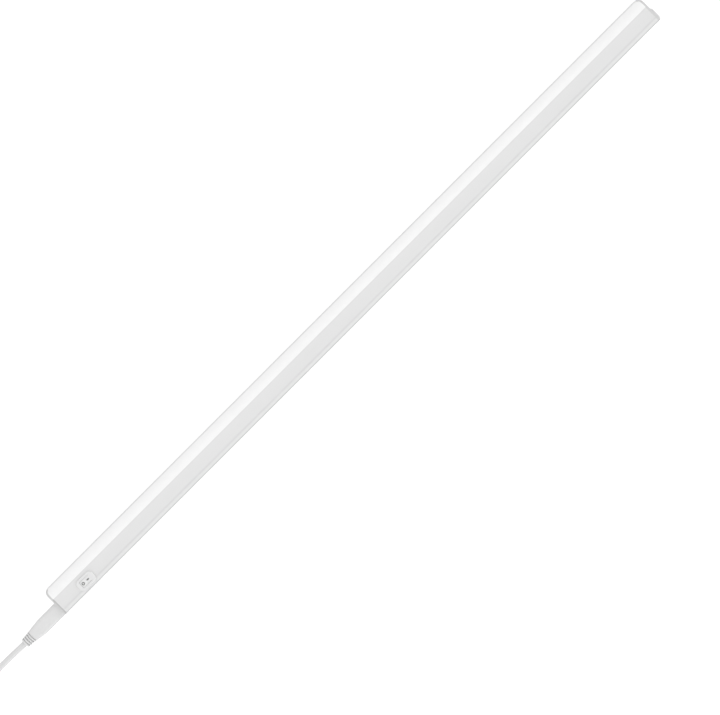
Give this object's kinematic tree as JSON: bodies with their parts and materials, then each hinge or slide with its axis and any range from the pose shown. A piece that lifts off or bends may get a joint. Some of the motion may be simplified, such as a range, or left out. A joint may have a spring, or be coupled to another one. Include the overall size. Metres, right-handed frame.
{
  "type": "led light tube",
  "caption": "Slim white linkable LED tube with opal half-round cover, side rocker switch, plug-in mains lead and capped link outlet.",
  "frame": {"origin": "middle of the flat mounting face", "axes": "+X along the lamp from the lead's end to the outlet's end, -Y out of the side with the switch, +Z from the mounting face to the top of the opal cover"},
  "size_m": [1.1489, 0.0581, 0.0335],
  "materials": {
    "housing_white": "fine matt extruded white",
    "end_cap_white": "satin moulded white",
    "opal_cover": "frosted opal",
    "board_white": "white solder mask",
    "led_package": "white",
    "led_phosphor": "clear silicone over phosphor",
    "board_green": "solder mask",
    "steel": "zinc plated",
    "capacitor_can": "printed sleeve",
    "film_box": "moulded",
    "ferrite": "sintered",
    "copper_wire": "enamelled",
    "tape_yellow": "tape",
    "black_epoxy": "moulded epoxy",
    "resistor_body": "lacquered",
    "switch_white": "satin",
    "rocker_white": "satin",
    "brass": "stamped",
    "socket_white": "moulded",
    "cap_white": "moulded",
    "wire_brown": "insulation",
    "wire_blue": "insulation",
    "wire_red": "insulation",
    "connector_white": "fine grained",
    "cord_white": "smooth sheath",
    "tie_black": "woven strap",
    "plug_white": "satin",
    "nickel": "nickel plated"
  },
  "bodies": {
    "lamp": {"channel_base": "housing_white", "channel_switch_wall": "housing_white", "channel_plain_wall": "housing_white", "inlet_end_cap": "end_cap_white", "outlet_end_cap": "end_cap_white", "diffuser_cover": "opal_cover", "led_board": "board_white", "led_packages": "led_package", "led_phosphor": "led_phosphor", "driver_board": "board_green", "driver_posts": "end_cap_white", "driver_screws": "steel", "bulk_capacitor": "capacitor_can", "output_capacitor": "capacitor_can", "film_capacitor": "film_box", "inductor_core": "ferrite", "inductor_winding": "copper_wire", "transformer_core": "ferrite", "transformer_bobbin": "tape_yellow", "bridge_rectifier": "black_epoxy", "driver_chip": "black_epoxy", "fuse_resistor": "resistor_body", "chip_resistors": "black_epoxy", "switch_bezel": "switch_white", "switch_body": "switch_white", "rocker_pin": "steel", "switch_terminals": "brass", "end_cap_screws": "steel", "inlet_socket": "socket_white", "inlet_pins": "brass", "outlet_socket": "socket_white", "outlet_contacts": "brass", "live_through_wire": "wire_brown", "neutral_through_wire": "wire_blue", "switch_feed_wire": "wire_brown", "switch_load_wire": "wire_brown", "driver_neutral_wire": "wire_blue", "led_wires": "wire_red"},
    "rocker": {"switch_rocker": "rocker_white"},
    "lead": {"connector_body": "connector_white", "connector_contacts": "brass", "connector_strain_relief": "cord_white", "mains_cord": "cord_white", "cord_hank": "cord_white", "cord_tail": "cord_white", "hank_tie": "tie_black", "mains_plug_boot": "plug_white", "mains_plug_body": "plug_white", "mains_plug_pins": "nickel"},
    "blanking_cap": {"outlet_blanking_cap": "cap_white"}
  },
  "joints": [
    {"name": "rocker_tilt", "type": "hinge", "parent": "lamp", "child": "rocker", "pos_m": [-0.3965, -0.0099, 0.0096], "axis": [0, 0, 1], "range_deg": [-17.8, 0]},
    {"name": "connector_pull", "type": "slide", "parent": "lamp", "child": "lead", "axis": [-1, 0, 0], "range_m": [0, 0.018]},
    {"name": "blanking_cap_pull", "type": "slide", "parent": "lamp", "child": "blanking_cap", "axis": [1, 0, 0], "range_m": [0, 0.012]}
  ]
}
